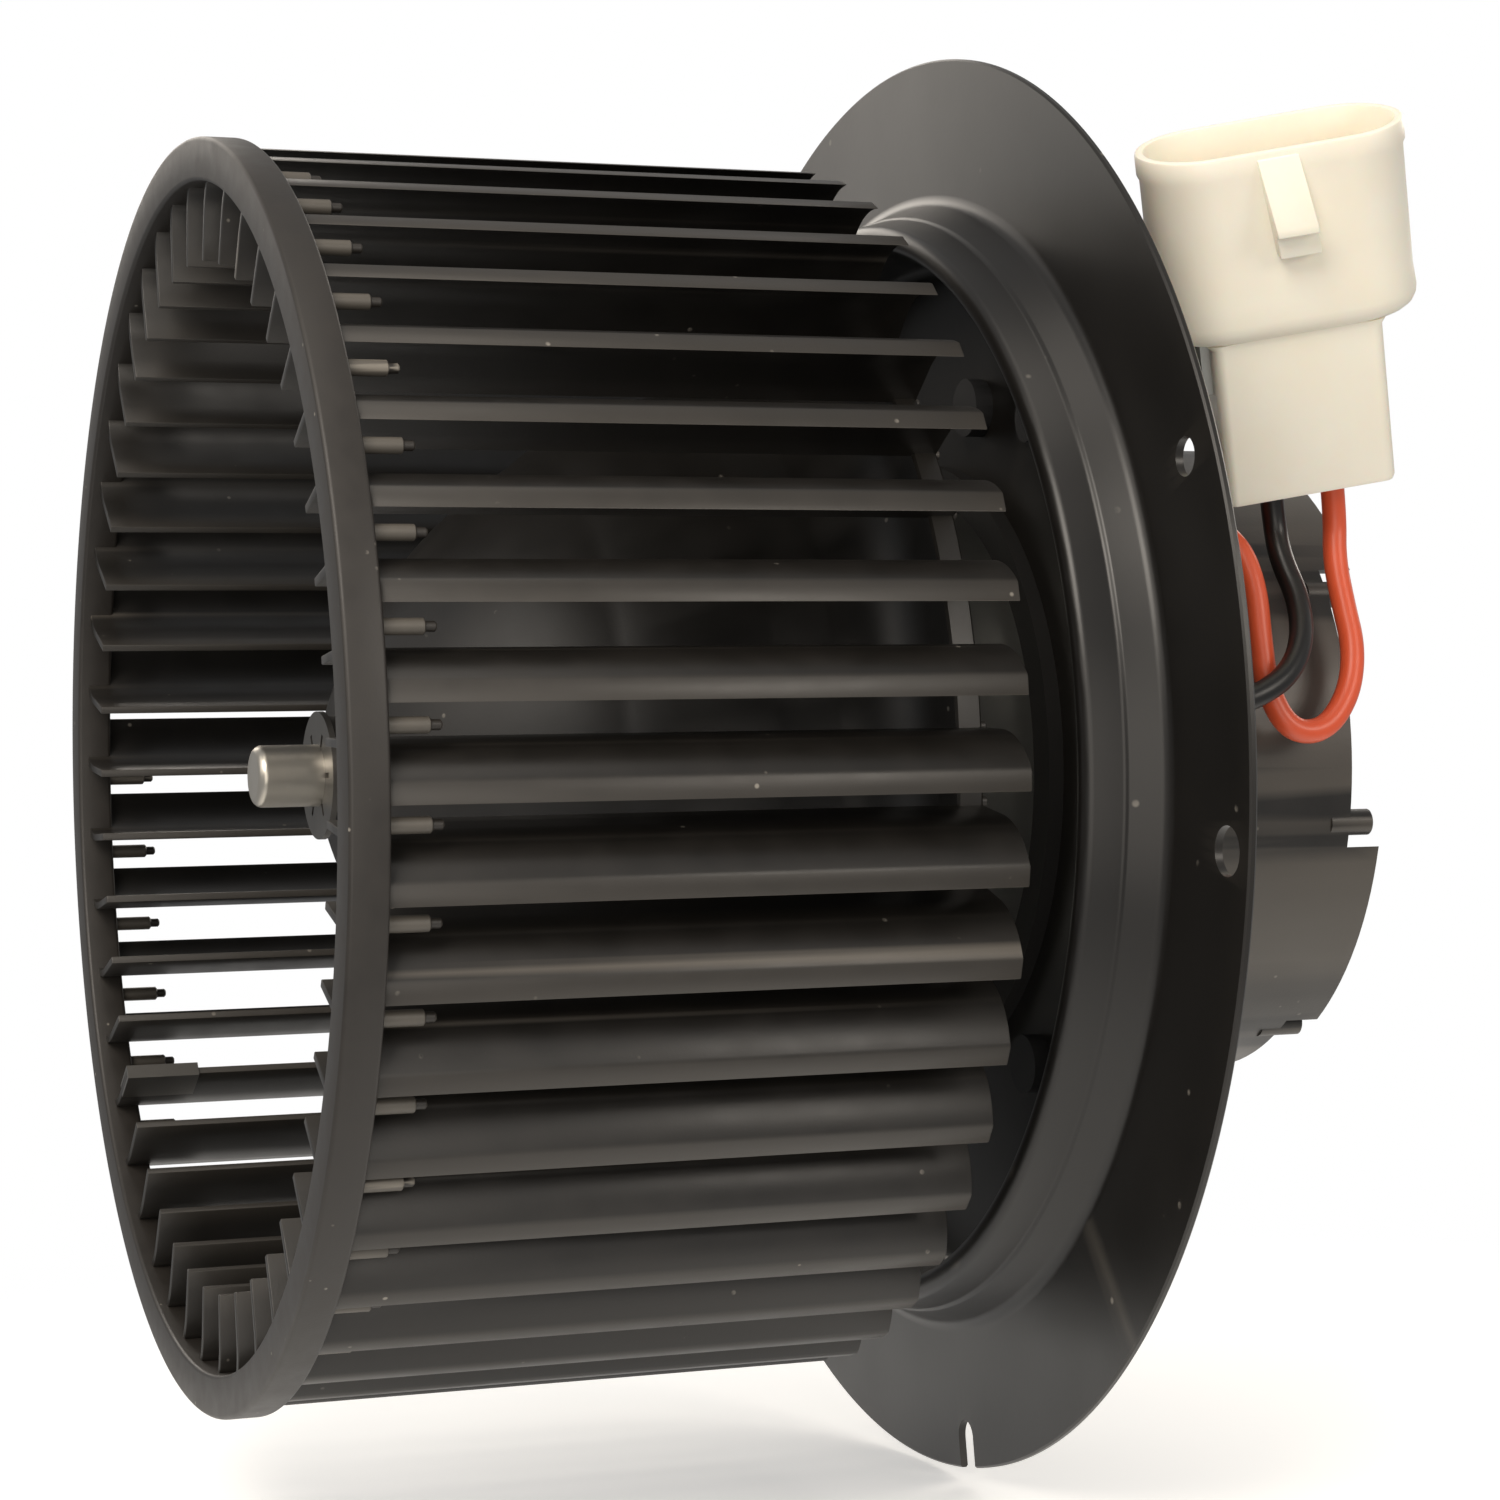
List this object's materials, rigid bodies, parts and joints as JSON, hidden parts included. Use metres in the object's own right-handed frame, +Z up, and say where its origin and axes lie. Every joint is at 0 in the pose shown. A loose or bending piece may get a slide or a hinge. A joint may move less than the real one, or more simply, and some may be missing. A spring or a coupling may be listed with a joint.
{
  "type": "blower motor wheel",
  "caption": "Forward-curved centrifugal wheel on a vented blower motor, with a round mounting plate, motor cover and flying-lead connector.",
  "frame": {"origin": "on the motor axis, in the front face of the mounting plate's flat rim", "axes": "+Y along the motor axis from the intake towards the motor cover, +Z up towards the connector"},
  "size_m": [0.1888, 0.1479, 0.1888],
  "materials": {
    "wheel_nylon": "moulded satin",
    "spring_steel": "bright spring steel",
    "shaft_steel": "ground and turned",
    "core_steel": "stacked laminations",
    "winding_copper": "enamelled copper",
    "white_nylon": "moulded",
    "can_steel": "zinc plated",
    "ferrite": "sintered",
    "sintered_bronze": "sintered, oiled",
    "phenolic": "pressed sheet",
    "carbon": "pressed graphite",
    "holder_brass": "stamped",
    "plate_paint": "satin black coat",
    "collar_rubber": "moulded",
    "cover_nylon": "moulded satin",
    "screw_steel": "black oxide",
    "connector_nylon": "moulded ivory",
    "red_insulation": "extruded",
    "black_insulation": "extruded"
  },
  "bodies": {
    "stator": {"motor_can": "can_steel", "field_magnets": "ferrite", "magnet_springs": "spring_steel", "front_bearing": "sintered_bronze", "rear_bearing": "sintered_bronze", "front_bearing_retainer": "spring_steel", "rear_bearing_retainer": "spring_steel", "rear_end_plate": "can_steel", "brush_plate": "phenolic", "carbon_brushes": "carbon", "brush_holders": "holder_brass", "brush_springs": "spring_steel", "choke_coils": "winding_copper", "mounting_plate": "plate_paint", "isolation_collar": "collar_rubber", "motor_cover": "cover_nylon", "cover_screws": "screw_steel", "connector_bracket": "can_steel", "bracket_rivet": "screw_steel", "connector_housing": "connector_nylon", "connector_terminals": "holder_brass", "lead_grommets": "collar_rubber", "red_lead": "red_insulation", "black_lead": "black_insulation"},
    "rotor": {"wheel_rim": "wheel_nylon", "wheel_blades": "wheel_nylon", "wheel_hub": "wheel_nylon", "hub_retaining_clip": "spring_steel", "balance_clip": "spring_steel", "motor_shaft": "shaft_steel", "armature_core": "core_steel", "armature_windings": "winding_copper", "commutator": "winding_copper", "thrust_washers": "white_nylon"}
  },
  "joints": [
    {"name": "wheel_spin", "type": "hinge", "parent": "stator", "child": "rotor", "pos_m": [0, 0, 0], "axis": [0, 1, 0], "continuous": true}
  ]
}
